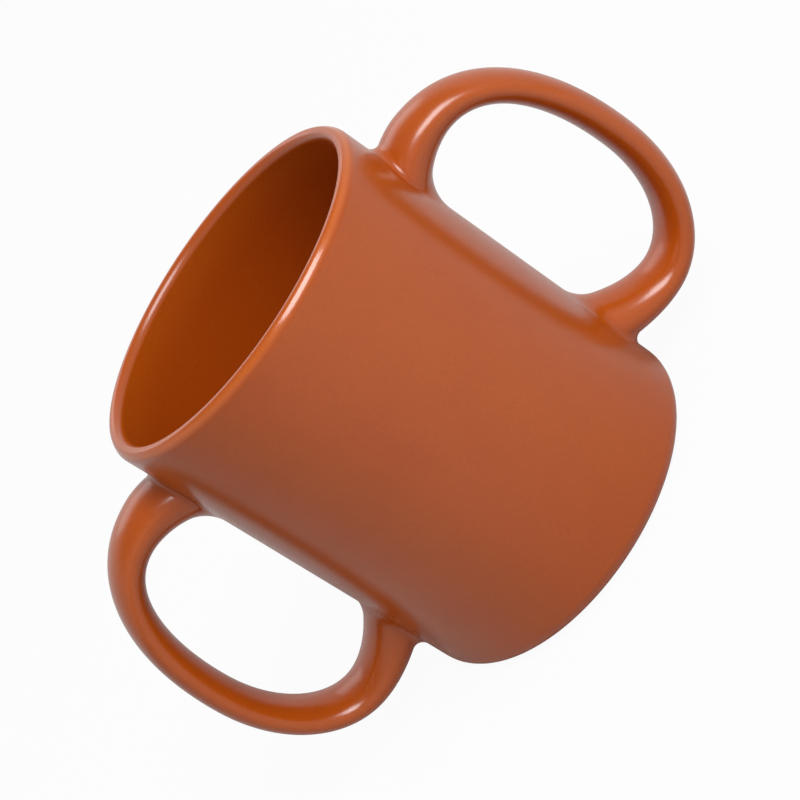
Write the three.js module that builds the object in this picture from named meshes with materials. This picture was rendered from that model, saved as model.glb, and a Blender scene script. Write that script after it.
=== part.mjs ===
// Two-handled stoneware mug: a turned cup with an ear-shaped handle luted to each side of its wall.
// Millimetres, +Z up. The origin is the middle of the ring that the mug stands on.
// The handles lie along X, so XZ and YZ are both planes of symmetry.

import * as THREE from 'three';

// Cup: a straight wall with a full-round lip, on a low turned foot ring.
const CUP_DIAMETER = 82;
const CUP_HEIGHT = 94.5;
const WALL_THICKNESS = 3.7;
const FLOOR_THICKNESS = 5;
const BASE_EDGE_RADIUS = 4.5;
const INSIDE_CORNER_RADIUS = 9;
const FOOT_RING_WIDTH = 4.5;
const FOOT_RECESS_DEPTH = 1.5;
const FOOT_RECESS_SLOPE = 2;

// Handle centreline: upper root, crown, widest reach, heel and lower root.
// Offsets are from the outside of the wall. The crown hangs from the lip and the heel stands above the table.
const CROWN_DROP = 15.3;
const CROWN_OFFSET = 9.5;
const HEEL_HEIGHT = 12.5;
const HEEL_OFFSET = 14.6;
const REACH_OFFSET = 34;

// The roots leave the wall below the crown and above the heel, on slopes that meet those levels at the turns.
const UPPER_ROOT_FALL = 2.6;
const UPPER_TURN_OFFSET = 5;
const LOWER_ROOT_RISE = 4.3;
const LOWER_TURN_OFFSET = 8;

// Level of the widest point between heel and crown, and how square the loop is above and below it.
const REACH_LEVEL = 0.426;
const UPPER_FULLNESS = 0.615;
const LOWER_FULLNESS = 0.57;

// Handle section: an oval strap that swells as it nears the wall.
// The underside of the lower root has only a share of the extra thickness.
const GRIP_THICKNESS = 7.3;
const GRIP_WIDTH = 15.2;
const ROOT_EXTRA_THICKNESS = 5;
const ROOT_EXTRA_WIDTH = 3.2;
const LOWER_OUTER_SWELL = 0.7;
const FLARE_REACH = 29.4;

// Slip joint: the wiped fillet of liquid clay round each root, and the gap left between neighbours.
// The fillet is close at the sides of the strap, wider outside the loop and widest inside it.
const SLIP_SIDE_LEG = 1.2;
const SLIP_OUTER_LEG = 1.9;
const SLIP_INNER_LEG = 5;
const SLIP_FILLET_FILL = 0.3;
const JOINT_GAP = 0.3;

// Fineness of the facets, and where a ring of points lies on a handle's end, from its edge to its middle.
const CUP_SEGMENTS = 72;
const ARC_STEPS = 4;
const HANDLE_SIDES = 20;
const HANDLE_RINGS = 40;
const FILLET_STEPS = 4;
const SADDLE_RING_PLACE = 0.5;
const BISECTION_STEPS = 40;

// Places along the centreline, as shares of its length.
const UPPER_END = 0;
const LOOP_MIDDLE = 0.5;
const LOWER_END = 1;

// Sizes that follow from the ones above.
const CUP_RADIUS = CUP_DIAMETER / 2;
const SEAT_RADIUS = CUP_RADIUS + JOINT_GAP;
const ROOT_THICKNESS = GRIP_THICKNESS + ROOT_EXTRA_THICKNESS;

// Finish: one burnt-orange satin glaze all over.
const GLAZE_COLOUR = 0xa5481c;
const GLAZE_ROUGHNESS = 0.38;

function glazeMaterial() {
  return new THREE.MeshStandardMaterial({ color: GLAZE_COLOUR, roughness: GLAZE_ROUGHNESS, metalness: 0 });
}

function glazedMesh(name, geometry) {
  const mesh = new THREE.Mesh(geometry, glazeMaterial());
  mesh.name = name;
  return mesh;
}

// The profile runs from the middle of the underside, out over the foot ring, up the wall,
// over the lip and down the inside to the middle of the floor.
function cupProfile() {
  const ringOuter = CUP_RADIUS - BASE_EDGE_RADIUS;
  const ringInner = ringOuter - FOOT_RING_WIDTH;
  const lipRadius = WALL_THICKNESS / 2;
  const insideRadius = CUP_RADIUS - WALL_THICKNESS;
  const floorHeight = FOOT_RECESS_DEPTH + FLOOR_THICKNESS;
  const cornerHeight = floorHeight + INSIDE_CORNER_RADIUS;
  const cornerCentre = insideRadius - INSIDE_CORNER_RADIUS;

  const profile = new THREE.Path();
  profile.moveTo(0, FOOT_RECESS_DEPTH);
  profile.lineTo(ringInner - FOOT_RECESS_SLOPE, FOOT_RECESS_DEPTH);
  profile.lineTo(ringInner, 0);
  profile.lineTo(ringOuter, 0);
  profile.absarc(ringOuter, BASE_EDGE_RADIUS, BASE_EDGE_RADIUS, -Math.PI / 2, 0, false);
  profile.absarc(CUP_RADIUS - lipRadius, CUP_HEIGHT - lipRadius, lipRadius, 0, Math.PI, false);
  profile.absarc(cornerCentre, cornerHeight, INSIDE_CORNER_RADIUS, 0, -Math.PI / 2, true);
  profile.lineTo(0, floorHeight);
  return profile.getPoints(ARC_STEPS);
}

function cupGeometry() {
  return new THREE.LatheGeometry(cupProfile(), CUP_SEGMENTS).rotateX(Math.PI / 2);
}

// The end of a straight tail of centreline, drawn on inside the wall so that every side of a root meets it.
function rootTail(root, turn) {
  const slope = root.clone().sub(turn);
  return slope.multiplyScalar(ROOT_THICKNESS / (turn.x - root.x)).add(root);
}

// The loop in the plane of the handle: x is the distance from the cup's axis and y is the height.
function handleCentreline() {
  const crownHeight = CUP_HEIGHT - CROWN_DROP;
  const reachHeight = THREE.MathUtils.lerp(HEEL_HEIGHT, crownHeight, REACH_LEVEL);
  const upperRoot = new THREE.Vector2(CUP_RADIUS, crownHeight - UPPER_ROOT_FALL);
  const upperTurn = new THREE.Vector2(CUP_RADIUS + UPPER_TURN_OFFSET, crownHeight);
  const crown = new THREE.Vector2(CUP_RADIUS + CROWN_OFFSET, crownHeight);
  const reach = new THREE.Vector2(CUP_RADIUS + REACH_OFFSET, reachHeight);
  const heel = new THREE.Vector2(CUP_RADIUS + HEEL_OFFSET, HEEL_HEIGHT);
  const lowerTurn = new THREE.Vector2(CUP_RADIUS + LOWER_TURN_OFFSET, HEEL_HEIGHT);
  const lowerRoot = new THREE.Vector2(CUP_RADIUS, HEEL_HEIGHT + LOWER_ROOT_RISE);
  const shoulder = new THREE.Vector2(reach.x, crown.y);
  const elbow = new THREE.Vector2(reach.x, heel.y);

  const path = new THREE.CurvePath();
  path.add(new THREE.LineCurve(rootTail(upperRoot, upperTurn), upperRoot));
  path.add(new THREE.QuadraticBezierCurve(upperRoot, upperTurn, crown));
  path.add(new THREE.CubicBezierCurve(
    crown,
    crown.clone().lerp(shoulder, UPPER_FULLNESS),
    reach.clone().lerp(shoulder, UPPER_FULLNESS),
    reach,
  ));
  path.add(new THREE.CubicBezierCurve(
    reach,
    reach.clone().lerp(elbow, LOWER_FULLNESS),
    heel.clone().lerp(elbow, LOWER_FULLNESS),
    heel,
  ));
  path.add(new THREE.QuadraticBezierCurve(heel, lowerTurn, lowerRoot));
  path.add(new THREE.LineCurve(lowerRoot, rootTail(lowerRoot, lowerTurn)));
  return path;
}

// The way the strap runs, square to its section. Between the wall and the crown the sections stand upright.
function strapDirection(path, along) {
  const nearUpperRoot = along < LOOP_MIDDLE && path.getPoint(along).x < CUP_RADIUS + CROWN_OFFSET;
  return nearUpperRoot ? new THREE.Vector2(1, 0) : path.getTangent(along);
}

// A point on the handle's skin, or on a skin that stands proud of it by the given margin.
// Angle 0 is the outside of the loop, and a right angle is its +Y edge.
function handleSkin(path, along, angle, margin) {
  const centre = path.getPoint(along);
  const direction = strapDirection(path, along);
  const flare = Math.max(0, 1 - (centre.x - CUP_RADIUS) / FLARE_REACH) ** 2;
  const underLowerRoot = along > LOOP_MIDDLE && Math.cos(angle) > 0;
  const swelling = ROOT_EXTRA_THICKNESS * flare * (underLowerRoot ? LOWER_OUTER_SWELL : 1);
  const halfThickness = (GRIP_THICKNESS + swelling) / 2 + margin;
  const halfWidth = (GRIP_WIDTH + ROOT_EXTRA_WIDTH * flare) / 2 + margin;
  const outward = halfThickness * Math.cos(angle);
  return new THREE.Vector3(
    centre.x - direction.y * outward,
    halfWidth * Math.sin(angle),
    centre.y + direction.x * outward,
  );
}

// Where one side of the handle meets the seat round the cup, between a tail's end and the loop's middle.
function seatCrossing(path, tailEnd, angle, margin) {
  let inside = tailEnd;
  let outside = LOOP_MIDDLE;
  for (let step = 0; step < BISECTION_STEPS; step += 1) {
    const middle = (inside + outside) / 2;
    const point = handleSkin(path, middle, angle, margin);
    if (Math.hypot(point.x, point.y) < SEAT_RADIUS) {
      inside = middle;
    } else {
      outside = middle;
    }
  }
  return outside;
}

function sideAngles() {
  return Array.from({ length: HANDLE_SIDES }, (_, side) => (2 * Math.PI * side) / HANDLE_SIDES);
}

// Moves a point straight in or out from the cup's axis until it lies on the seat.
function ontoSeat(point) {
  const stretch = SEAT_RADIUS / Math.hypot(point.x, point.y);
  return new THREE.Vector3(point.x * stretch, point.y * stretch, point.z);
}

function ringMiddle(ring) {
  const middle = new THREE.Vector3();
  ring.forEach((point) => middle.add(point));
  return middle.divideScalar(ring.length);
}

// Faces between two neighbouring rings of points, given where each ring starts in the list of points.
function bandFaces(here, next, sides) {
  const faces = [];
  for (let side = 0; side < sides; side += 1) {
    const across = (side + 1) % sides;
    faces.push(here + side, next + side, next + across);
    faces.push(here + side, next + across, here + across);
  }
  return faces;
}

// A closed bar through a row of rings, with a fan of faces on the seat over each end.
function skinBar(rings) {
  const sides = rings[0].length;
  const last = (rings.length - 1) * sides;
  const points = rings.flat();
  const faces = [];
  for (let here = 0; here < last; here += sides) {
    faces.push(...bandFaces(here, here + sides, sides));
  }
  const firstMiddle = points.push(ontoSeat(ringMiddle(rings[0]))) - 1;
  const lastMiddle = points.push(ontoSeat(ringMiddle(rings[rings.length - 1]))) - 1;
  for (let side = 0; side < sides; side += 1) {
    const across = (side + 1) % sides;
    faces.push(firstMiddle, side, across);
    faces.push(lastMiddle, last + across, last + side);
  }
  return new THREE.BufferGeometry().setFromPoints(points).setIndex(faces);
}

// A closed hoop through a row of rings whose last ring joins the first.
function skinHoop(rings) {
  const sides = rings[0].length;
  const starts = rings.map((_, ring) => ring * sides);
  const faces = starts.flatMap((start, ring) => bandFaces(start, starts[(ring + 1) % starts.length], sides));
  return new THREE.BufferGeometry().setFromPoints(rings.flat()).setIndex(faces);
}

// A ring on the seat, inside the edge of a handle's end, that keeps the end true to the wall.
function saddleRing(endRing) {
  const middle = ringMiddle(endRing);
  return endRing.map((point) => ontoSeat(point.clone().lerp(middle, SADDLE_RING_PLACE)));
}

// The handle's ends are saddles that follow the round of the wall.
function handleGeometry(path) {
  const sides = sideAngles().map((angle) => ({
    angle,
    start: seatCrossing(path, UPPER_END, angle, 0),
    end: seatCrossing(path, LOWER_END, angle, 0),
  }));
  const rings = Array.from({ length: HANDLE_RINGS + 1 }, (_, ring) => sides.map((side) => {
    const along = THREE.MathUtils.lerp(side.start, side.end, ring / HANDLE_RINGS);
    return handleSkin(path, along, side.angle, 0);
  }));
  return skinBar([saddleRing(rings[0]), ...rings, saddleRing(rings[HANDLE_RINGS])]);
}

// Steps from a point on the seat straight away from the middle of the root, keeping to the round of the wall.
function alongWall(point, rootMiddle, distance) {
  const turn = Math.atan2(point.y, point.x);
  const away = new THREE.Vector2(turn * SEAT_RADIUS, point.z - rootMiddle.z).setLength(distance);
  const newTurn = turn + away.x / SEAT_RADIUS;
  const x = SEAT_RADIUS * Math.cos(newTurn);
  const y = SEAT_RADIUS * Math.sin(newTurn);
  return new THREE.Vector3(x, y, point.z + away.y);
}

function slipLeg(angle) {
  const widest = Math.cos(angle) > 0 ? SLIP_OUTER_LEG : SLIP_INNER_LEG;
  return THREE.MathUtils.lerp(SLIP_SIDE_LEG, widest, Math.cos(angle) ** 2);
}

// One hoop of slip: at each side of the root a wedge lies in the corner between wall and handle,
// with one leg along each and a hollow face between their tips.
function slipJointGeometry(path, tailEnd) {
  const towardsGrip = Math.sign(LOOP_MIDDLE - tailEnd);
  const corners = sideAngles().map((angle) => {
    const along = seatCrossing(path, tailEnd, angle, JOINT_GAP);
    return { angle, along, point: handleSkin(path, along, angle, JOINT_GAP) };
  });
  const rootMiddle = ringMiddle(corners.map((corner) => corner.point));
  const wedges = corners.map(({ angle, along, point }) => {
    const leg = slipLeg(angle);
    const handleTip = handleSkin(path, along + (towardsGrip * leg) / path.getLength(), angle, JOINT_GAP);
    const wallTip = alongWall(point, rootMiddle, leg);
    const betweenTips = handleTip.clone().add(wallTip).divideScalar(2);
    const hollow = point.clone().lerp(betweenTips, SLIP_FILLET_FILL);
    const face = new THREE.QuadraticBezierCurve3(handleTip, hollow, wallTip).getPoints(FILLET_STEPS);
    return [...face, point];
  });
  return skinHoop(towardsGrip > 0 ? wedges : wedges.reverse());
}

// A handle with its two slip joints, on the +X side of the cup.
function handleGroup(side, path) {
  const group = new THREE.Group();
  group.add(glazedMesh(`${side}_handle`, handleGeometry(path)));
  group.add(glazedMesh(`${side}_upper_slip_joint`, slipJointGeometry(path, UPPER_END)));
  group.add(glazedMesh(`${side}_lower_slip_joint`, slipJointGeometry(path, LOWER_END)));
  return group;
}

const centreline = handleCentreline();
const rightHandle = handleGroup('right', centreline);
const leftHandle = handleGroup('left', centreline);
leftHandle.rotation.z = Math.PI;

const mug = new THREE.Group();
mug.add(glazedMesh('cup_body', cupGeometry()), rightHandle, leftHandle);

export default mug;
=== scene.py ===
"""Two-handled stoneware mug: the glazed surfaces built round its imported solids.

Metres, +Z up, the same frame as the solids. The mug stands on z = 0 with its handles along X.
"""

import math

import bmesh
import bpy
from bpy.props import FloatProperty, FloatVectorProperty, IntProperty, PointerProperty
from mathutils import Matrix, Vector


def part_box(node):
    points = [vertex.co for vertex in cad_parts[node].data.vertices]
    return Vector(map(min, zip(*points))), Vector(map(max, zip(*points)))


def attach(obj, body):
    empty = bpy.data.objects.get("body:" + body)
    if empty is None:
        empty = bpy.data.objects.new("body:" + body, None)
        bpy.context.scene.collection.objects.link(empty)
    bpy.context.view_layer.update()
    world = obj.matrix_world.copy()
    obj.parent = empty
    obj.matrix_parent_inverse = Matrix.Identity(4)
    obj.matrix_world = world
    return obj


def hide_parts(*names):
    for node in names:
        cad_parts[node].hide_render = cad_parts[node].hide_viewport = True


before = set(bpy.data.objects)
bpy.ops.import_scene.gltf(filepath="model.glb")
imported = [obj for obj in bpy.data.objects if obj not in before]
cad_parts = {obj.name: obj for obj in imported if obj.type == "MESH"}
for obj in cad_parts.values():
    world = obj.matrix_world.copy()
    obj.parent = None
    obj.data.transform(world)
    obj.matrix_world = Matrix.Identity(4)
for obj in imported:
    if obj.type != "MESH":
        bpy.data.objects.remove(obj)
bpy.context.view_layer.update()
CUP_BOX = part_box("cup_body")
HANDLE_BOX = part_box("right_handle")

bl_info = {
    "name": "Two-handled mug",
    "version": (1, 0, 0),
    "blender": (4, 5, 0),
    "location": "View3D > Sidebar > Mug",
    "description": "Builds the glazed surfaces, stage and camera of a two-handled mug",
    "category": "Add Mesh",
}

MM = 0.001
BODY = "root"

# Turn of each handle about the cup's axis.
SIDES = {"right": 0.0, "left": math.pi}

# Ends and middle of a handle's loop, as shares of its length.
UPPER_END = 0.0
LOOP_MIDDLE = 0.5
LOWER_END = 1.0

# Strap's thickness at the grip, and what the cup is short of the solids' height, to stay inside their box.
GRIP_THICKNESS = 7.3 * MM
INSET = 0.002 * MM

# Fineness of the meshes: steps in a rounded corner and in a fillet, samples of each curve of the loop,
# facets round a hoop of slip for each one round the strap, and the angle above which an edge stays sharp.
ARC_STEPS = 12
FILLET_STEPS = 12
CURVE_SAMPLES = 60
HOOP_FINENESS = 2
SHARP = math.radians(50)

# How deep the ends of a strap and the back of the slip are sunk, and how far the slip's thin tips run on
# and dip under the skins beside them.
SINK = 0.5 * MM
TIP_RUN = 0.6 * MM
TIP_DIP = 0.015 * MM

# Halvings in a search along the strap, and the small step that measures the slope of its skin.
HALVINGS = 40
SLOPE_STEP = 1e-3

# Socket types of the node groups, the groups' names, and the places of a mix node's colour sockets,
# which share their names with others.
COLOUR = "NodeSocketColor"
VALUE = "NodeSocketFloat"
GLAZE_GROUP = "Satin glaze"
# The pooling group deepens the colour in the roots' creases: glaze pooling, and painted shade.
POOLING_AND_SHADE_GROUP = "Root pooling"
MIX_FACTOR, MIX_FIRST, MIX_SECOND, MIX_RESULT = 0, 6, 7, 2

# Noises: the middle of their range, and how much finer detail each has.
NOISE_MIDDLE = 0.5
PATCH_DETAIL = 3.0
PATCH_RAGGEDNESS = 0.55
GRAIN_DETAIL = 2.0
WAVER_DETAIL = 4.0
GROG_DETAIL = 3.0

# Glaze: noise levels where a patch begins and is full, gain and floor of the noise that breaks up a thin
# coat, spread of roughness over the patches, its loss on a thin coat, light and dark of the grain, and index
# of refraction.
PATCH_ONSET = (0.35, 0.75)
RAGGED_BREAK = (1.2, 0.4)
PATCH_SATIN = 0.10
THIN_GLOSS = 0.18
FLECK = 0.22
GLAZE_IOR = 1.53

# Where the coat starts and stops thinning on the strap's edges, as shares of its width from its middle,
# and where it starts to deepen over the lip, as a share of the wall from the outside.
EDGE_ONSET = (0.40, 0.52)
INSIDE_ONSET = 0.4

# Bare clay: light and dark of its sandy grains, and their relief in depths of the glaze's pebbling.
GROG_FLECK = 0.5
GROG_RELIEF = 4.0

WHITE = (1.0, 1.0, 1.0, 1.0)

# Floor: facets each way, depth under the mug, and how far it is lifted to white where it is seen.
FLOOR_GRID = 8
FLOOR_DROP = 0.05 * MM
FLOOR_LIFT = 0.95

# Parts of the floor that are white in the mug's gloss: a glow in front on the right, and all that lies
# behind, coming in between two distances, but not the shade round the mug's foot.
FLOOR_GLOW = (0.18, -0.20, 0.0)
GLOW_REACH = 0.5
FLOOR_BEHIND = (0.08, 0.3)
SHADE_REACH = 50 * MM
OPEN_FLOOR = 110 * MM

# Room: the light that it sheds, its share in the mug's gloss, and its dim ceiling, with the heights in the
# sky where that begins and is full.
ROOM_LEVEL = 0.39
ROOM_IN_GLOSS = 0.6
CEILING_LEVEL = 0.15
CEILING_ONSET = (0.5, 0.8)

# Soft boxes: turn from the front, rise above the table, distance and size in metres, and power in watts.
LAMPS = {
    "key_lamp": {
        "turn": math.radians(37), "rise": math.radians(50), "distance": 1.0,
        "width": 0.60, "height": 0.40, "power": 9.0,
    },
    "back_lamp": {
        "turn": math.radians(185), "rise": math.radians(38), "distance": 1.2,
        "width": 1.0, "height": 0.5, "power": 2.0,
    },
}
LAMP_AIM = (0.0, 0.0, 0.05)

# Camera: width of the sensor in millimetres, and the nearest thing it sees in metres.
SENSOR_WIDTH = 36.0
CLIP_START = 0.01

# Properties that every settings group has and the panel leaves out.
UNLISTED = {"rna_type", "name"}


def length(name, description, default):
    """A size in metres that a user may change."""
    return FloatProperty(
        name=name, description=description, default=default, unit="LENGTH", min=0.0, precision=5
    )


def shift(name, description, default):
    """A distance in metres that may also be negative."""
    return FloatProperty(name=name, description=description, default=default, unit="LENGTH", precision=5)


def times(name, description, default):
    """A plain number that may be greater than 1."""
    return FloatProperty(name=name, description=description, default=default, min=0.0)


def share(name, description, default):
    """A plain number between 0 and 1."""
    return FloatProperty(
        name=name, description=description, default=default, subtype="FACTOR", min=0.0, max=1.0
    )


def tint(name, description, default):
    """A linear colour."""
    return FloatVectorProperty(
        name=name, description=description, default=default, subtype="COLOR", size=3, min=0.0, max=1.0
    )


def angle(name, description, degrees):
    """An angle, given in degrees and kept in radians."""
    return FloatProperty(
        name=name, description=description, default=math.radians(degrees), subtype="ANGLE"
    )


class MugCupSizes(bpy.types.PropertyGroup):
    """Sizes of the turned cup"""

    diameter: length("Diameter", "Across the outside of the wall", CUP_BOX[1].y - CUP_BOX[0].y)
    height: length("Height", "From the table to the top of the lip", CUP_BOX[1].z - CUP_BOX[0].z - INSET)
    wall: length("Wall", "Thickness of the wall", 3.7 * MM)
    lip_slope: length("Lip slope", "Run of the slope on each side of the lip, and its drop inside", 1.2 * MM)
    lip_fall: length("Lip fall", "Drop of the slope on the outside of the lip", 1.6 * MM)
    lip_shoulder: length("Lip shoulder", "Radius where the wall turns into that slope", 2.6 * MM)
    lip_crown: length("Lip crown", "Radius where that slope turns over the top", 1.4 * MM)
    floor: length("Floor", "Thickness of the floor", 5 * MM)
    base_edge: length("Base edge", "Radius where the wall turns under", 4.5 * MM)
    inside_corner: length("Inside corner", "Radius between wall and floor inside", 9 * MM)
    foot_ring: length("Foot ring", "Width of the ring that the mug stands on", 4.5 * MM)
    foot_recess: length("Foot recess", "Depth of the hollow inside the foot ring", 1.5 * MM)
    foot_slope: length("Foot slope", "Run of the slope inside the foot ring", 2 * MM)
    foot_softness: length("Foot softness", "Radius that the sponge leaves on the foot's corners", 0.6 * MM)
    segments: IntProperty(name="Segments", description="Facets round the cup", default=192, min=24)


class MugHandleSizes(bpy.types.PropertyGroup):
    """Sizes of the handles and of the slip wiped round their roots"""

    crown_drop: length("Crown drop", "From the lip down to the crown's centreline", 15.3 * MM)
    crown_offset: length("Crown offset", "Crown's distance from the wall", 9.5 * MM)
    heel_height: length("Heel height", "Heel's centreline above the table", 12.5 * MM)
    heel_offset: length("Heel offset", "Heel's distance from the wall", 14.6 * MM)
    reach_offset: length(
        "Reach",
        "Distance of the widest point's centreline from the wall",
        HANDLE_BOX[1].x - GRIP_THICKNESS / 2 - CUP_BOX[1].y,
    )
    upper_root_fall: length("Upper root fall", "How far the upper root lies below the crown", 2.6 * MM)
    upper_turn: length("Upper turn", "Where the upper root's slope meets the crown's level", 5.0 * MM)
    lower_root_rise: length("Lower root rise", "How far the lower root lies above the heel", 4.3 * MM)
    lower_turn: length("Lower turn", "Where the lower root's slope meets the heel's level", 8.0 * MM)
    reach_level: share("Reach level", "Level of the widest point between heel and crown", 0.426)
    upper_fullness: share("Upper fullness", "How square the loop is above its widest point", 0.615)
    lower_fullness: share("Lower fullness", "How square the loop is below its widest point", 0.57)
    thickness: length("Grip thickness", "Strap's thickness at the grip", GRIP_THICKNESS)
    width: length("Grip width", "Strap's width at the grip", 15.2 * MM)
    root_thickness: length("Root thickness", "Extra thickness at the wall", 5 * MM)
    root_width: length("Root width", "Extra width at the wall", 3.2 * MM)
    lower_outer_swelling: share(
        "Lower outer swelling", "Part of the extra thickness that the lower root has under the loop", 0.7
    )
    upper_inner_swelling: times(
        "Upper inner swelling", "Part of the extra thickness that the upper root has inside the loop", 1.6
    )
    lower_inner_swelling: times(
        "Lower inner swelling", "Part of the extra thickness that the lower root has inside the loop", 1.25
    )
    flare_reach: length("Flare reach", "How far from the wall the swelling dies out", 29.4 * MM)
    upper_crease: length("Upper crease", "Fillet radius at the sides of the upper root", 1.1 * MM)
    lower_crease: length("Lower crease", "Fillet radius at the sides of the lower root", 2.4 * MM)
    outer_fillet: length("Outer fillet", "Fillet radius outside the loop", 2.2 * MM)
    upper_fillet: length("Upper fillet", "Fillet radius inside the loop at the upper root", 10.5 * MM)
    lower_fillet: length("Lower fillet", "Fillet radius inside the loop at the lower root", 10.5 * MM)
    strap_sides: IntProperty(name="Sides", description="Facets round the strap", default=64, min=12)
    strap_rings: IntProperty(name="Rings", description="Rings along the strap", default=180, min=24)


class MugGlazeLook(bpy.types.PropertyGroup):
    """Colours and surface of the glaze and of the bare clay, with the painted shade and painted highlight
    laid into the glaze
    """

    colour: tint("Glaze", "Burnt orange of an even coat", (0.405, 0.070, 0.0030))
    # The deep glaze also colours painted shade at the roots and inside the cup; the thin glaze also colours
    # a painted highlight on the lip's shoulder.
    deep: tint("Deep glaze", "Redder brown where the coat is thick", (0.31, 0.040, 0.0018))
    thin: tint("Thin glaze", "Brighter orange where the coat breaks over an edge", (0.62, 0.145, 0.022))
    clay: tint("Clay", "Bare stoneware on the foot ring", (0.62, 0.47, 0.34))
    roughness: share("Roughness", "Satin of the glaze", 0.25)
    mottle_size: length("Mottle size", "Width of the soft patches in the coat", 14 * MM)
    mottle: share("Mottle", "Strength of the patches", 0.16)
    grain_size: length("Grain size", "Width of the glaze's fine pebbling", 0.55 * MM)
    # Root pooling and its spread: glaze pooling in the roots' corners, and painted shade darkening those
    # creases.
    root_pool_and_shade: share("Root pooling", "How deep the colour gets in the corners of the roots", 0.45)
    pool_and_shade_spread: length("Pool spread", "How far the pooling reaches from those corners", 2.2 * MM)
    # Inside shade and its depth: painted shade, the glaze darkening from the lip down into the cup.
    inside_shade: share("Inside shade", "How deep the colour gets inside the cup", 0.6)
    inside_shade_depth: length("Inside fade", "Depth below the lip where that pooling is full", 12 * MM)
    # Lip break and its spread: a thinner coat over the lip's outer shoulder, and a painted highlight along
    # it.
    lip_break_and_highlight: share("Lip break and highlight", "How thin the coat gets on the lip's outer shoulder", 0.42)
    break_and_highlight_spread: length("Break spread", "Reach of the thin coat from the shoulder", 1.25 * MM)
    edge_break: share("Edge break", "How thin the coat gets on the strap's edges", 0.06)
    foot_line: length("Foot line", "Height where the glaze was wiped off the foot", 0.15 * MM)
    foot_waver: length("Foot waver", "How far that line wanders", 0.5 * MM)
    foot_edge: length("Foot edge", "Width of the glaze's soft edge", 0.2 * MM)
    grog_size: length("Grog size", "Width of the sandy grains in the bare clay", 0.7 * MM)
    clay_roughness: share("Clay roughness", "Dryness of the bare clay", 0.8)
    grain_depth: length("Grain depth", "Depth of the fine pebbling", 0.007 * MM)


class MugStageSettings(bpy.types.PropertyGroup):
    """Floor and camera"""

    floor_size: length("Floor size", "Width of the floor", 12.0)
    floor_colour: tint("Floor", "Matt tone of the floor", (0.60, 0.60, 0.60))
    camera_azimuth: angle("Camera azimuth", "Turn round the mug from the front", 4.50)
    camera_elevation: angle("Camera elevation", "Height above the table", 23.51)
    camera_roll: angle("Camera roll", "Turn of the picture", 56.53)
    camera_distance: length("Camera distance", "From the aim to the camera", 0.4531)
    aim_height: length("Aim height", "Height of the aim on the mug's axis", 0.041)
    aim_right: shift("Aim right", "Aim's shift along the camera's level axis", 0.00092)
    aim_up: shift("Aim up", "Aim's shift along the camera's upright axis", 0.00511)
    lens: FloatProperty(
        name="Lens", description="Focal length on a 36 mm sensor", default=93.46, unit="CAMERA"
    )


def lerp(start, end, along):
    """What lies a share of the way from start to end."""
    return start + (end - start) * along


def rounded_profile(corners):
    """Points along a line of (radius, height, rounding) corners, each corner turned into an arc."""
    points = []
    for index, (r, z, rounding) in enumerate(corners):
        here = Vector((r, z))
        if rounding == 0.0:
            points.append(here)
            continue
        back = (Vector(corners[index - 1][:2]) - here).normalized()
        ahead = (Vector(corners[index + 1][:2]) - here).normalized()
        half_turn = back.angle(ahead) / 2
        centre = here + (back + ahead).normalized() * (rounding / math.sin(half_turn))
        first = here + back * (rounding / math.tan(half_turn)) - centre
        sweep = first.angle_signed(here + ahead * (rounding / math.tan(half_turn)) - centre)
        for step in range(ARC_STEPS + 1):
            points.append(centre + Matrix.Rotation(-sweep * step / ARC_STEPS, 2) @ first)
    return points


def cup_profile(cup):
    """Half section from the middle of the underside, over the lip, to the middle of the floor inside."""
    radius = cup.diameter / 2
    inside = radius - cup.wall
    ring_inner = radius - cup.base_edge - cup.foot_ring
    floor_level = cup.foot_recess + cup.floor
    corners = [
        (0.0, cup.foot_recess, 0.0),
        (ring_inner - cup.foot_slope, cup.foot_recess, cup.foot_softness),
        (ring_inner, 0.0, cup.foot_softness),
        (radius, 0.0, cup.base_edge),
        (radius, cup.height - cup.lip_fall, cup.lip_shoulder),
        (radius - cup.lip_slope, cup.height, cup.lip_crown),
        (inside + cup.lip_slope, cup.height, cup.lip_crown),
        (inside, cup.height - cup.lip_slope, cup.lip_shoulder),
        (inside, floor_level, cup.inside_corner),
        (0.0, floor_level, 0.0),
    ]
    return rounded_profile(corners)


def band(bm, here, ahead):
    """Faces between two closed rings of vertices of the same count."""
    count = len(here)
    for side in range(count):
        beside = (side + 1) % count
        bm.faces.new((here[side], ahead[side], ahead[beside], here[beside]))


def fan(bm, middle, ring):
    """Faces from a point in the middle of a closed ring out to its vertices."""
    pole = bm.verts.new(middle)
    for side, vertex in enumerate(ring):
        bm.faces.new((pole, vertex, ring[(side + 1) % len(ring)]))


def mesh_object(name, bm):
    """A smooth-shaded object from a bmesh, with steep edges kept sharp."""
    bmesh.ops.recalc_face_normals(bm, faces=bm.faces)
    mesh = bpy.data.meshes.new(name)
    bm.to_mesh(mesh)
    bm.free()
    mesh.polygons.foreach_set("use_smooth", [True] * len(mesh.polygons))
    mesh.set_sharp_from_angle(angle=SHARP)
    piece = bpy.data.objects.new(name, mesh)
    bpy.context.scene.collection.objects.link(piece)
    return piece


def turned_cup(name, cup):
    """The cup's profile turned round its axis."""
    bm = bmesh.new()
    profile = cup_profile(cup)
    turns = [math.tau * step / cup.segments for step in range(cup.segments)]
    rings = [
        [bm.verts.new((p.x * math.cos(turn), p.x * math.sin(turn), p.y)) for turn in turns]
        for p in profile[1:-1]
    ]
    for here, ahead in zip(rings, rings[1:]):
        band(bm, here, ahead)
    for pole, ring in ((profile[0], rings[0]), (profile[-1], rings[-1])):
        fan(bm, (0.0, 0.0, pole.y), ring)
    return mesh_object(name, bm)


def distance_from_axis(point):
    """How far a point lies from the cup's axis."""
    return math.hypot(point.x, point.y)


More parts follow.
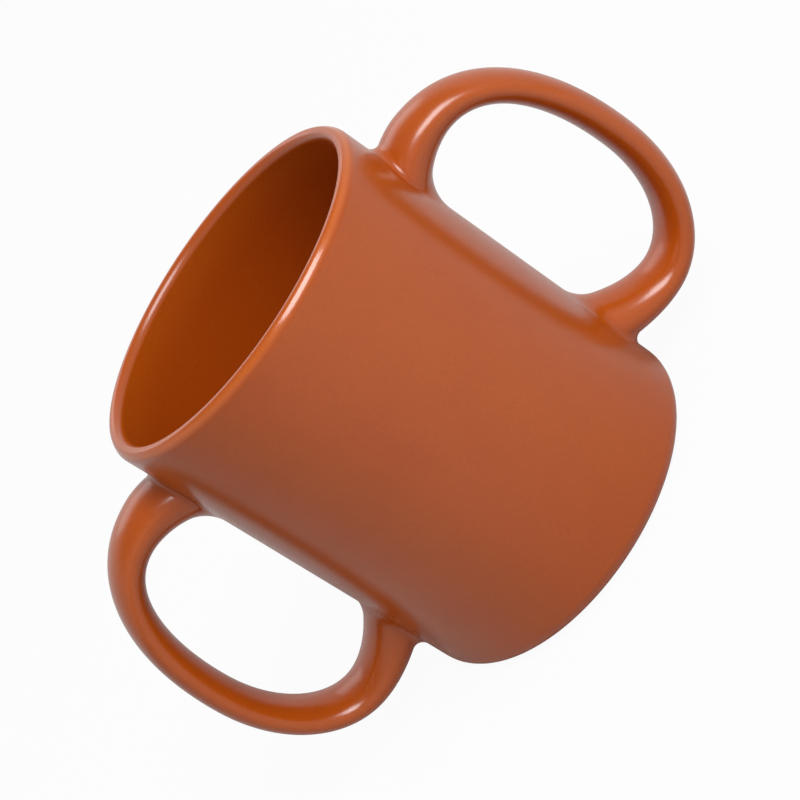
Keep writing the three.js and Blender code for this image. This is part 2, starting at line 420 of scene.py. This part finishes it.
class Strap:
    """The handle's skin: an oval strap along a loop in the XZ plane, swelling towards the wall."""

    def __init__(self, cup, sizes):
        self.sizes = sizes
        self.radius = cup.diameter / 2
        self.curves = self.loop(cup, sizes)
        self.table = self.lengths()
        self.total = self.table[-1][0]

    def loop(self, cup, sizes):
        """Bezier pieces of the centreline, from inside the wall, over the crown and back."""
        crown_height = cup.height - sizes.crown_drop
        reach_height = lerp(sizes.heel_height, crown_height, sizes.reach_level)
        upper_root = Vector((self.radius, crown_height - sizes.upper_root_fall))
        upper_turn = Vector((self.radius + sizes.upper_turn, crown_height))
        crown = Vector((self.radius + sizes.crown_offset, crown_height))
        reach = Vector((self.radius + sizes.reach_offset, reach_height))
        heel = Vector((self.radius + sizes.heel_offset, sizes.heel_height))
        lower_turn = Vector((self.radius + sizes.lower_turn, sizes.heel_height))
        lower_root = Vector((self.radius, sizes.heel_height + sizes.lower_root_rise))
        shoulder = Vector((reach.x, crown.y))
        elbow = Vector((reach.x, heel.y))
        return [
            (self.tail(upper_root, upper_turn), upper_root),
            (upper_root, upper_turn, crown),
            (crown, lerp(crown, shoulder, sizes.upper_fullness),
             lerp(reach, shoulder, sizes.upper_fullness), reach),
            (reach, lerp(reach, elbow, sizes.lower_fullness),
             lerp(heel, elbow, sizes.lower_fullness), heel),
            (heel, lower_turn, lower_root),
            (lower_root, self.tail(lower_root, lower_turn)),
        ]

    def tail(self, root, turn):
        """End of a straight run of centreline inside the wall."""
        run = self.sizes.thickness + self.sizes.root_thickness
        return root + (root - turn) * (run / (turn.x - root.x))

    def on_curve(self, place):
        """Centre and direction at a place: its whole part is the curve, its rest the way along it."""
        index = min(int(place), len(self.curves) - 1)
        along = place - index
        points = list(self.curves[index])
        while len(points) > 2:
            points = [lerp(a, b, along) for a, b in zip(points, points[1:])]
        return lerp(points[0], points[1], along), (points[1] - points[0]).normalized()

    def lengths(self):
        """Rows of (length so far, place) along the loop."""
        rows = [(0.0, 0.0)]
        previous = self.on_curve(0.0)[0]
        for step in range(1, len(self.curves) * CURVE_SAMPLES + 1):
            place = step / CURVE_SAMPLES
            centre = self.on_curve(place)[0]
            rows.append((rows[-1][0] + (centre - previous).length, place))
            previous = centre
        return rows

    def at(self, along):
        """Centre and direction at a share of the loop's length."""
        wanted = min(max(along, UPPER_END), LOWER_END) * self.total
        low, high = 0, len(self.table) - 1
        while high - low > 1:
            middle = (low + high) // 2
            if self.table[middle][0] <= wanted:
                low = middle
            else:
                high = middle
        (start, place), (end, next_place) = self.table[low], self.table[high]
        return self.on_curve(lerp(place, next_place, (wanted - start) / (end - start)))

    def skin(self, along, turn):
        """A point on the skin. Turn 0 is the outside of the loop, a right angle its +Y edge.

        Sections stand upright from the upper root to the crown, so that they don't fold over one another.
        """
        centre, direction = self.at(along)
        if direction.x > 0 and centre.x < self.radius + self.sizes.crown_offset:
            direction = Vector((1.0, 0.0))
        flare = max(0.0, 1 - (centre.x - self.radius) / self.sizes.flare_reach) ** 2
        swelling = self.sizes.root_thickness * flare
        if math.cos(turn) >= 0:
            swelling *= self.sizes.lower_outer_swelling if along > LOOP_MIDDLE else 1.0
        elif along < LOOP_MIDDLE:
            swelling *= self.sizes.upper_inner_swelling
        else:
            swelling *= self.sizes.lower_inner_swelling
        half_thickness = (self.sizes.thickness + swelling) / 2
        half_width = (self.sizes.width + self.sizes.root_width * flare) / 2
        outward = half_thickness * math.cos(turn)
        return Vector((
            centre.x - direction.y * outward,
            half_width * math.sin(turn),
            centre.y + direction.x * outward,
        ))

    def normal(self, along, turn):
        """Unit normal of the skin, pointing out of the strap."""
        forward = self.skin(along + SLOPE_STEP, turn) - self.skin(along - SLOPE_STEP, turn)
        around = self.skin(along, turn + SLOPE_STEP) - self.skin(along, turn - SLOPE_STEP)
        return forward.cross(around).normalized()

    def crossing(self, end, reaches_in):
        """The share of the loop between a tail's end and its middle where a test stops being true."""
        inside, outside = end, LOOP_MIDDLE
        for _ in range(HALVINGS):
            middle = (inside + outside) / 2
            if reaches_in(middle):
                inside = middle
            else:
                outside = middle
        return outside

    def out_of_wall(self, end, turn, wall_radius):
        """The share of the loop where one side of the strap comes out of a round wall."""
        return self.crossing(end, lambda along: distance_from_axis(self.skin(along, turn)) < wall_radius)


def handle_strap(name, strap, turn_about):
    """One closed strap whose ends are sunk a little into the wall."""
    bm = bmesh.new()
    sizes = strap.sizes
    turns = [math.tau * side / sizes.strap_sides for side in range(sizes.strap_sides)]
    seat = strap.radius - SINK
    starts = [strap.out_of_wall(UPPER_END, turn, seat) for turn in turns]
    ends = [strap.out_of_wall(LOWER_END, turn, seat) for turn in turns]
    rings = []
    for ring in range(sizes.strap_rings + 1):
        along = ring / sizes.strap_rings
        rings.append([
            bm.verts.new(strap.skin(lerp(start, end, along), turn))
            for start, end, turn in zip(starts, ends, turns)
        ])
    for here, ahead in zip(rings, rings[1:]):
        band(bm, here, ahead)
    for ring in (rings[0], rings[-1]):
        fan(bm, sum((vertex.co for vertex in ring), Vector()) / len(ring), ring)
    bm.transform(Matrix.Rotation(turn_about, 4, "Z"))
    return mesh_object(name, bm)


def fillet_radius(sizes, end, turn):
    """A close crease at the sides of a root, opening to wider fillets outside and inside the loop."""
    lean = math.cos(turn)
    if end == UPPER_END:
        crease, inner = sizes.upper_crease, sizes.upper_fillet
    else:
        crease, inner = sizes.lower_crease, sizes.lower_fillet
    wide = sizes.outer_fillet if lean > 0 else inner
    return lerp(crease, wide, lean * lean)


def fillet_section(strap, end, turn):
    """Points across the slip: the arc of a ball that touches strap and wall, its tips and back sunk."""
    radius = fillet_radius(strap.sizes, end, turn)

    def ball(along):
        """Centre of a ball that lies on the strap."""
        return strap.skin(along, turn) + strap.normal(along, turn) * radius

    along = strap.crossing(end, lambda place: distance_from_axis(ball(place)) < strap.radius + radius)
    centre = ball(along)
    on_strap = strap.skin(along, turn) - centre
    wall_normal = Vector((centre.x, centre.y, 0.0)).normalized()
    on_wall = -wall_normal * radius
    sweep = on_strap.angle(on_wall)
    arc = [
        centre + (on_strap * math.sin(sweep * (1 - step / FILLET_STEPS))
                  + on_wall * math.sin(sweep * step / FILLET_STEPS)) / math.sin(sweep)
        for step in range(FILLET_STEPS + 1)
    ]
    strap_normal = -on_strap.normalized()
    further = along + math.copysign(TIP_RUN / strap.total, LOOP_MIDDLE - end)
    first = strap.skin(further, turn) - strap.normal(further, turn) * TIP_DIP
    run_on = arc[-1] + (arc[-1] - arc[-2]).normalized() * TIP_RUN
    sunk = (strap.radius - TIP_DIP) / distance_from_axis(run_on)
    last = Vector((run_on.x * sunk, run_on.y * sunk, run_on.z))
    corner = strap.skin(strap.out_of_wall(end, turn, strap.radius), turn)
    slip_back = corner - (strap_normal + wall_normal).normalized() * SINK
    return [first, *arc, last, slip_back]


def slip_hoop(name, strap, end, turn_about):
    """The closed hoop of slip round one root."""
    bm = bmesh.new()
    count = strap.sizes.strap_sides * HOOP_FINENESS
    sections = [
        [bm.verts.new(point) for point in fillet_section(strap, end, math.tau * side / count)]
        for side in range(count)
    ]
    for side, here in enumerate(sections):
        band(bm, here, sections[(side + 1) % count])
    bm.transform(Matrix.Rotation(turn_about, 4, "Z"))
    return mesh_object(name, bm)


def seat_piece(piece, node, material):
    """Gives a finished piece its finish, joins it to the body, and hides the solid that it stands for."""
    piece.data.materials.append(material)
    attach(piece, BODY)
    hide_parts(node)


class NodeBuilder:
    """Places and links the nodes of one tree."""

    def __init__(self, tree):
        self.tree = tree

    def add(self, kind, values=None, **settings):
        """A node with its settings, and its inputs set to values or linked to sockets."""
        node = self.tree.nodes.new(kind)
        for key, value in settings.items():
            setattr(node, key, value)
        for key, value in (values or {}).items():
            socket = node.inputs[key]
            if isinstance(value, bpy.types.NodeSocket):
                self.tree.links.new(value, socket)
            else:
                socket.default_value = value
        return node

    def math(self, operation, *terms):
        """The result of a sum on numbers or sockets."""
        node = self.add("ShaderNodeMath", dict(enumerate(terms)), operation=operation)
        return node.outputs[0]

    def smooth(self, value, low, high):
        """0 below low and 1 above high, or the other way round where low is the greater."""
        node = self.add(
            "ShaderNodeMapRange",
            {"Value": value, "From Min": low, "From Max": high, "To Min": 0.0, "To Max": 1.0},
            interpolation_type="SMOOTHSTEP",
        )
        return node.outputs["Result"]

    def mix(self, factor, first, second):
        """A blend of two colours."""
        values = {MIX_FACTOR: factor, MIX_FIRST: first, MIX_SECOND: second}
        return self.add("ShaderNodeMix", values, data_type="RGBA").outputs[MIX_RESULT]

    def noise(self, place, scale, detail, raggedness=0.5):
        """A cloudy pattern."""
        values = {"Vector": place, "Scale": scale, "Detail": detail, "Roughness": raggedness}
        return self.add("ShaderNodeTexNoise", values).outputs["Fac"]

    def flecked(self, tone, pattern, strength):
        """A colour made lighter and darker by a pattern."""
        value = self.math("MULTIPLY_ADD", pattern, strength, 1 - strength * NOISE_MIDDLE)
        return self.add("ShaderNodeHueSaturation", {"Color": tone, "Value": value}).outputs["Color"]

    def length(self, vector):
        """Length of a vector."""
        return self.add("ShaderNodeVectorMath", {0: vector}, operation="LENGTH").outputs["Value"]

    def flat_length(self, x, y):
        """Length of a vector in a plane, from its two parts."""
        return self.length(self.add("ShaderNodeCombineXYZ", {"X": x, "Y": y}).outputs["Vector"])

    def place(self):
        """The point being coloured, in the object's own frame."""
        return self.add("ShaderNodeTexCoord").outputs["Object"]

    def parts(self, vector):
        """A vector's x, y and z."""
        return self.add("ShaderNodeSeparateXYZ", {"Vector": vector}).outputs


def node_group(name, inputs, outputs):
    """An empty shader group with named sockets, the builder of its tree and its input sockets."""
    tree = bpy.data.node_groups.new(name, "ShaderNodeTree")
    for in_out, sockets in (("INPUT", inputs), ("OUTPUT", outputs)):
        for socket_name, socket_type in sockets.items():
            tree.interface.new_socket(name=socket_name, in_out=in_out, socket_type=socket_type)
    nodes = NodeBuilder(tree)
    return tree, nodes, nodes.add("NodeGroupInput").outputs


def satin_glaze_group(name):
    """A coat of glaze: colour by its thickness, which also carries painted shade and a painted highlight,
    soft patches, a slightly uneven satin and fine pebbling.
    """
    tree, nodes, inputs = node_group(
        name,
        {"Colour": COLOUR, "Deep Colour": COLOUR, "Thin Colour": COLOUR, "Pooling And Shade": VALUE,
         "Breaking": VALUE, "Mottle": VALUE, "Mottle Scale": VALUE, "Grain Scale": VALUE,
         "Roughness": VALUE},
        {"Colour": COLOUR, "Roughness": VALUE, "Height": VALUE},
    )
    place = nodes.place()
    patches = nodes.noise(place, inputs["Mottle Scale"], PATCH_DETAIL, PATCH_RAGGEDNESS)
    grain = nodes.noise(place, inputs["Grain Scale"], GRAIN_DETAIL)
    mottled = nodes.math("MULTIPLY", nodes.smooth(patches, *PATCH_ONSET), inputs["Mottle"])
    # Deeper colour from the patches, and from the pooling input, which carries painted shade at the roots
    # and inside the cup.
    thick = nodes.math("MAXIMUM", mottled, inputs["Pooling And Shade"])
    ragged = nodes.math("MULTIPLY_ADD", patches, *RAGGED_BREAK)
    # Brighter colour from the breaking input, which on the lip carries a painted highlight.
    thin = nodes.math("MULTIPLY", inputs["Breaking"], ragged)
    coat = nodes.mix(thick, inputs["Colour"], inputs["Deep Colour"])
    broken = nodes.mix(thin, coat, inputs["Thin Colour"])
    off_middle = nodes.math("SUBTRACT", patches, NOISE_MIDDLE)
    patchy = nodes.math("MULTIPLY_ADD", off_middle, PATCH_SATIN, inputs["Roughness"])
    nodes.add("NodeGroupOutput", {
        "Colour": nodes.flecked(broken, grain, FLECK),
        "Roughness": nodes.math("MULTIPLY_ADD", inputs["Breaking"], -THIN_GLOSS, patchy),
        "Height": grain,
    })
    return tree


def object_place(nodes):
    """The point's x, y and z, and its distance from the cup's axis."""
    x, y, z = nodes.parts(nodes.place())
    return x, y, z, nodes.flat_length(x, y)


def root_pooling_and_shade_group(name):
    """1 in the corners round the handles' roots, where the glaze lies thick and painted shade darkens the
    creases, fading along wall and strap.
    """
    tree, nodes, inputs = node_group(
        name,
        {"Wall Radius": VALUE, "Upper Height": VALUE, "Lower Height": VALUE, "Half Width": VALUE,
         "Half Height": VALUE, "Spread": VALUE},
        {"Pooling And Shade": VALUE},
    )
    x, y, z, axis_distance = object_place(nodes)
    off_wall = nodes.math("ABSOLUTE", nodes.math("SUBTRACT", axis_distance, inputs["Wall Radius"]))
    near_handles = nodes.math("GREATER_THAN", nodes.math("ABSOLUTE", x), nodes.math("ABSOLUTE", y))
    across_root = nodes.math("DIVIDE", y, inputs["Half Width"])
    rings = []
    for height in ("Upper Height", "Lower Height"):
        up_root = nodes.math("DIVIDE", nodes.math("SUBTRACT", z, inputs[height]), inputs["Half Height"])
        rings.append(nodes.math("SUBTRACT", nodes.flat_length(across_root, up_root), 1.0))
    outside = nodes.math("MAXIMUM", nodes.math("MINIMUM", *rings), 0.0)
    off_root = nodes.math("MULTIPLY", outside, inputs["Half Height"])
    distance = nodes.flat_length(off_wall, off_root)
    # Painted shade and pooling: darkest at the creases round the roots, fading with distance from them.
    close = nodes.smooth(nodes.math("DIVIDE", distance, inputs["Spread"]), 1.0, 0.0)
    nodes.add("NodeGroupOutput", {"Pooling And Shade": nodes.math("MULTIPLY", close, near_handles)})
    return tree


def new_material(name):
    """A material with an empty tree, and the builder of that tree."""
    material = bpy.data.materials.new(name)
    material.use_nodes = True
    material.node_tree.nodes.clear()
    return material, NodeBuilder(material.node_tree)


def group_node(nodes, name, build, values):
    """A shared group in a material, built on its first use, with its inputs set or linked."""
    tree = bpy.data.node_groups.get(name) or build(name)
    return nodes.add("ShaderNodeGroup", values, node_tree=tree).outputs


def root_pooling_and_shade(nodes, cup, sizes, look):
    """How deep the colour gets near this mug's roots, glaze pooling with painted shade, from the shared
    pooling group.
    """
    corners = group_node(nodes, POOLING_AND_SHADE_GROUP, root_pooling_and_shade_group, {
        "Wall Radius": cup.diameter / 2,
        "Upper Height": cup.height - sizes.crown_drop - sizes.upper_root_fall,
        "Lower Height": sizes.heel_height + sizes.lower_root_rise,
        "Half Width": (sizes.width + sizes.root_width) / 2,
        "Half Height": (sizes.thickness + sizes.root_thickness) / 2,
        "Spread": look.pool_and_shade_spread,
    })
    return nodes.math("MULTIPLY", corners["Pooling And Shade"], look.root_pool_and_shade)


def glaze_coat(nodes, look, pooling, breaking):
    """The shared glaze group, set to this mug's look."""
    return group_node(nodes, GLAZE_GROUP, satin_glaze_group, {
        "Colour": (*look.colour, 1.0),
        "Deep Colour": (*look.deep, 1.0),
        "Thin Colour": (*look.thin, 1.0),
        "Pooling And Shade": pooling,
        "Breaking": breaking,
        "Mottle": look.mottle,
        "Mottle Scale": 1 / look.mottle_size,
        "Grain Scale": 1 / look.grain_size,
        "Roughness": look.roughness,
    })


def glazed_surface(nodes, look, colour_socket, roughness_socket, height_socket):
    """The shader that shows a coat, with its pebbling as bump."""
    bump = nodes.add(
        "ShaderNodeBump", {"Height": height_socket, "Strength": 1.0, "Distance": look.grain_depth}
    )
    shader = nodes.add(
        "ShaderNodeBsdfPrincipled",
        {"Base Color": colour_socket, "Roughness": roughness_socket, "IOR": GLAZE_IOR,
         "Normal": bump.outputs["Normal"]},
    )
    nodes.add("ShaderNodeOutputMaterial", {"Surface": shader.outputs["BSDF"]})


def handle_material(cup, sizes, look):
    """Glaze that pools at the roots, with painted shade in their creases, and breaks a little along the
    strap's two edges.
    """
    material, nodes = new_material("handle_glaze")
    _, y, _, _ = object_place(nodes)
    edge = nodes.smooth(nodes.math("ABSOLUTE", y), *(sizes.width * onset for onset in EDGE_ONSET))
    breaking = nodes.math("MULTIPLY", edge, look.edge_break)
    coat = glaze_coat(nodes, look, root_pooling_and_shade(nodes, cup, sizes, look), breaking)
    glazed_surface(nodes, look, coat["Colour"], coat["Roughness"], coat["Height"])
    return material


def joint_material(cup, sizes, look):
    """Glaze that lies thick in the hollow of the slip, darkened there by painted shade."""
    material, nodes = new_material("joint_glaze")
    coat = glaze_coat(nodes, look, root_pooling_and_shade(nodes, cup, sizes, look), 0.0)
    glazed_surface(nodes, look, coat["Colour"], coat["Roughness"], coat["Height"])
    return material


def ring_distance(nodes, axis_distance, z, radius, height):
    """Distance from a level ring round the cup's axis."""
    outwards = nodes.math("SUBTRACT", axis_distance, radius)
    upwards = nodes.math("SUBTRACT", z, height)
    return nodes.flat_length(outwards, upwards)


def wiped_foot(nodes, look, z, coat):
    """Colour, roughness and height of a coat that was wiped off the foot, down to the sandy clay."""
    place = nodes.place()
    waver = nodes.noise(place, 1 / look.mottle_size, WAVER_DETAIL)
    line = nodes.math("MULTIPLY_ADD", waver, look.foot_waver, look.foot_line)
    glazed = nodes.smooth(nodes.math("SUBTRACT", z, line), 0.0, look.foot_edge)
    grog = nodes.noise(place, 1 / look.grog_size, GROG_DETAIL)
    sandy = nodes.flecked((*look.clay, 1.0), grog, GROG_FLECK)
    dry = nodes.math("MULTIPLY_ADD", glazed, -look.clay_roughness, look.clay_roughness)
    bare_height = nodes.math("MULTIPLY", nodes.math("SUBTRACT", 1.0, glazed), grog)
    return (
        nodes.mix(glazed, sandy, coat["Colour"]),
        nodes.math("MAXIMUM", dry, coat["Roughness"]),
        nodes.math("MULTIPLY_ADD", bare_height, GROG_RELIEF, coat["Height"]),
    )


def cup_material(cup, sizes, look):
    """Glaze that breaks on the lip under a painted highlight, pools at the roots under painted shade, is
    darkened inside by painted shade, and leaves the foot ring bare.
    """
    material, nodes = new_material("cup_glaze")
    _, _, z, axis_distance = object_place(nodes)
    radius = cup.diameter / 2
    # Brighter orange round the lip's outer shoulder: a thinner coat, and a painted highlight.
    shoulder = ring_distance(
        nodes, axis_distance, z, radius - cup.lip_slope / 2, cup.height - cup.lip_fall / 2
    )
    breaking = nodes.math("MULTIPLY", nodes.smooth(shoulder, look.break_and_highlight_spread, 0.0), look.lip_break_and_highlight)
    # Painted shade inside the cup, full some way below the lip.
    in_cup = nodes.smooth(axis_distance, radius - INSIDE_ONSET * cup.wall, radius - cup.wall)
    below_lip = nodes.smooth(z, cup.height - cup.lip_slope, cup.height - look.inside_shade_depth)
    inside = nodes.math("MULTIPLY", nodes.math("MULTIPLY", in_cup, below_lip), look.inside_shade)
    # The roots' pooling with its painted shade and the painted shade inside deepen the colour together.
    pooling = nodes.math("MAXIMUM", inside, root_pooling_and_shade(nodes, cup, sizes, look))
    coat = glaze_coat(nodes, look, pooling, breaking)
    glazed_surface(nodes, look, *wiped_foot(nodes, look, z, coat))
    return material


class MUG_OT_turn_cup(bpy.types.Operator):
    """Turn the cup and glaze it"""

    bl_idname = "mug.turn_cup"
    bl_label = "Turn the cup"

    def execute(self, context):
        scene = context.scene
        material = cup_material(scene.mug_cup, scene.mug_handles, scene.mug_glaze)
        piece = turned_cup("glazed_cup", scene.mug_cup)
        seat_piece(piece, "cup_body", material)
        return {"FINISHED"}


class MUG_OT_pull_handles(bpy.types.Operator):
    """Pull both handles and glaze them"""

    bl_idname = "mug.pull_handles"
    bl_label = "Pull the handles"

    def execute(self, context):
        scene = context.scene
        strap = Strap(scene.mug_cup, scene.mug_handles)
        material = handle_material(scene.mug_cup, scene.mug_handles, scene.mug_glaze)
        for side, turn_about in SIDES.items():
            piece = handle_strap(f"glazed_{side}_handle", strap, turn_about)
            seat_piece(piece, f"{side}_handle", material)
        return {"FINISHED"}


class MUG_OT_wipe_joints(bpy.types.Operator):
    """Wipe a fillet of slip round each root and glaze it"""

    bl_idname = "mug.wipe_joints"
    bl_label = "Wipe the slip joints"

    def execute(self, context):
        scene = context.scene
        strap = Strap(scene.mug_cup, scene.mug_handles)
        material = joint_material(scene.mug_cup, scene.mug_handles, scene.mug_glaze)
        for side, turn_about in SIDES.items():
            for level, end in (("upper", UPPER_END), ("lower", LOWER_END)):
                piece = slip_hoop(f"glazed_{side}_{level}_joint", strap, end, turn_about)
                seat_piece(piece, f"{side}_{level}_slip_joint", material)
        return {"FINISHED"}


def facing(turn, rise):
    """Direction from the mug at a turn from the front and a rise above the table."""
    return Vector((math.sin(turn) * math.cos(rise), -math.cos(turn) * math.cos(rise), math.sin(rise)))


def camera_axes(stage):
    """Right, up and back of the camera, then right and up after its roll."""
    turn, roll = stage.camera_azimuth, stage.camera_roll
    back = facing(turn, stage.camera_elevation)
    right = Vector((math.cos(turn), math.sin(turn), 0.0))
    up = back.cross(right)
    rolled_right = right * math.cos(roll) - up * math.sin(roll)
    rolled_up = right * math.sin(roll) + up * math.cos(roll)
    return right, up, back, rolled_right, rolled_up


def place_camera(stage):
    """The photograph's camera, rolled so that the mug lies tilted in the picture."""
    right, up, back, rolled_right, rolled_up = camera_axes(stage)
    aim = Vector((0.0, 0.0, stage.aim_height)) + right * stage.aim_right + up * stage.aim_up
    camera = bpy.data.objects.new("camera", bpy.data.cameras.new("camera"))
    camera.data.lens = stage.lens
    camera.data.sensor_width = SENSOR_WIDTH
    camera.data.clip_start = CLIP_START
    axes = Matrix((rolled_right, rolled_up, back)).transposed().to_4x4()
    camera.matrix_world = Matrix.Translation(aim + back * stage.camera_distance) @ axes
    bpy.context.scene.collection.objects.link(camera)
    bpy.context.scene.camera = camera


def seen(nodes, in_gloss):
    """1 for what the camera sees, a share for what gloss shows, 0 for light that falls on things."""
    path = nodes.add("ShaderNodeLightPath").outputs
    mirrored = nodes.math("MULTIPLY", path["Is Glossy Ray"], in_gloss)
    return nodes.math("MAXIMUM", path["Is Camera Ray"], mirrored)


def floor_material(stage):
    """Pale matt grey, lifted nearly to white where it is seen, so that only a soft shadow stays on it."""
    material, nodes = new_material("floor_white")
    matt = nodes.add("ShaderNodeBsdfDiffuse", {"Color": (*stage.floor_colour, 1.0)})
    white = nodes.add("ShaderNodeEmission", {"Color": WHITE, "Strength": 1.0})
    place = nodes.place()
    from_glow = nodes.add("ShaderNodeVectorMath", {0: place, 1: FLOOR_GLOW}, operation="DISTANCE")
    glow = nodes.smooth(from_glow.outputs["Value"], GLOW_REACH, 0.0)
    behind = nodes.smooth(nodes.parts(place)["Y"], *FLOOR_BEHIND)
    bright = nodes.math("MULTIPLY", nodes.math("MAXIMUM", glow, behind), ROOM_IN_GLOSS)
    out_of_shade = nodes.smooth(nodes.length(place), SHADE_REACH, OPEN_FLOOR)
    in_gloss = nodes.math("MULTIPLY", out_of_shade, bright)
    lift = nodes.math("MULTIPLY", seen(nodes, in_gloss), FLOOR_LIFT)
    shown = nodes.add("ShaderNodeMixShader", {0: lift, 1: matt.outputs[0], 2: white.outputs[0]})
    nodes.add("ShaderNodeOutputMaterial", {"Surface": shown.outputs[0]})
    return material


def lay_floor(stage):
    """The wide floor, a hair under the foot ring."""
    bm = bmesh.new()
    bmesh.ops.create_grid(bm, x_segments=FLOOR_GRID, y_segments=FLOOR_GRID, size=stage.floor_size / 2)
    floor = mesh_object("floor", bm)
    floor.location.z = -FLOOR_DROP
    floor.data.materials.append(floor_material(stage))


def light_world():
    """A plain white room: even light, and a view that is white round the horizon and dim overhead."""
    world = bpy.data.worlds.new("studio")
    world.use_nodes = True
    world.node_tree.nodes.clear()
    nodes = NodeBuilder(world.node_tree)
    direction = nodes.add("ShaderNodeTexCoord").outputs["Generated"]
    overhead = nodes.smooth(nodes.parts(direction)["Z"], *CEILING_ONSET)
    brightness = nodes.math("MULTIPLY_ADD", overhead, CEILING_LEVEL - 1.0, 1.0)
    falls = nodes.add("ShaderNodeBackground", {"Color": WHITE, "Strength": ROOM_LEVEL})
    shows = nodes.add("ShaderNodeBackground", {"Color": WHITE, "Strength": brightness})
    view = seen(nodes, ROOM_IN_GLOSS)
    sky = nodes.add("ShaderNodeMixShader", {0: view, 1: falls.outputs[0], 2: shows.outputs[0]})
    nodes.add("ShaderNodeOutputWorld", {"Surface": sky.outputs[0]})
    bpy.context.scene.world = world


def hang_lamp(name, turn, rise, distance, width, height, power):
    """A soft box aimed at the middle of the mug."""
    lamp = bpy.data.lights.new(name, "AREA")
    lamp.shape = "RECTANGLE"
    lamp.size, lamp.size_y = width, height
    lamp.energy = power
    towards = facing(turn, rise)
    box = bpy.data.objects.new(name, lamp)
    box.location = towards * distance + Vector(LAMP_AIM)
    box.rotation_mode = "QUATERNION"
    box.rotation_quaternion = towards.to_track_quat("Z", "Y")
    bpy.context.scene.collection.objects.link(box)


class MUG_OT_set_stage(bpy.types.Operator):
    """Lay the floor, hang the lamps and place the camera"""

    bl_idname = "mug.set_stage"
    bl_label = "Set the stage"

    def execute(self, context):
        stage = context.scene.mug_stage
        lay_floor(stage)
        light_world()
        for name, settings in LAMPS.items():
            hang_lamp(name, **settings)
        place_camera(stage)
        context.scene.view_settings.view_transform = "Standard"
        return {"FINISHED"}


class MUG_PT_panel(bpy.types.Panel):
    """Sizes, finish and steps of the mug"""

    bl_label = "Mug"
    bl_idname = "MUG_PT_panel"
    bl_space_type = "VIEW_3D"
    bl_region_type = "UI"
    bl_category = "Mug"

    def draw(self, context):
        for name in SETTINGS:
            group = getattr(context.scene, name)
            box = self.layout.box()
            for key in group.bl_rna.properties.keys():
                if key not in UNLISTED:
                    box.prop(group, key)
        for operator in OPERATORS:
            self.layout.operator(operator.bl_idname)


SETTINGS = {
    "mug_cup": MugCupSizes,
    "mug_handles": MugHandleSizes,
    "mug_glaze": MugGlazeLook,
    "mug_stage": MugStageSettings,
}
OPERATORS = (MUG_OT_turn_cup, MUG_OT_pull_handles, MUG_OT_wipe_joints, MUG_OT_set_stage)


def register():
    """Adds the settings, steps and panel to Blender."""
    for cls in (*SETTINGS.values(), *OPERATORS, MUG_PT_panel):
        bpy.utils.register_class(cls)
    for name, group in SETTINGS.items():
        setattr(bpy.types.Scene, name, PointerProperty(type=group))


def unregister():
    """Takes them away again."""
    for name in SETTINGS:
        delattr(bpy.types.Scene, name)
    for cls in (MUG_PT_panel, *OPERATORS, *SETTINGS.values()):
        bpy.utils.unregister_class(cls)


def main():
    """Builds the mug on its stage."""
    register()
    bpy.ops.mug.turn_cup()
    bpy.ops.mug.pull_handles()
    bpy.ops.mug.wipe_joints()
    bpy.ops.mug.set_stage()


if __name__ == "__main__":
    main()
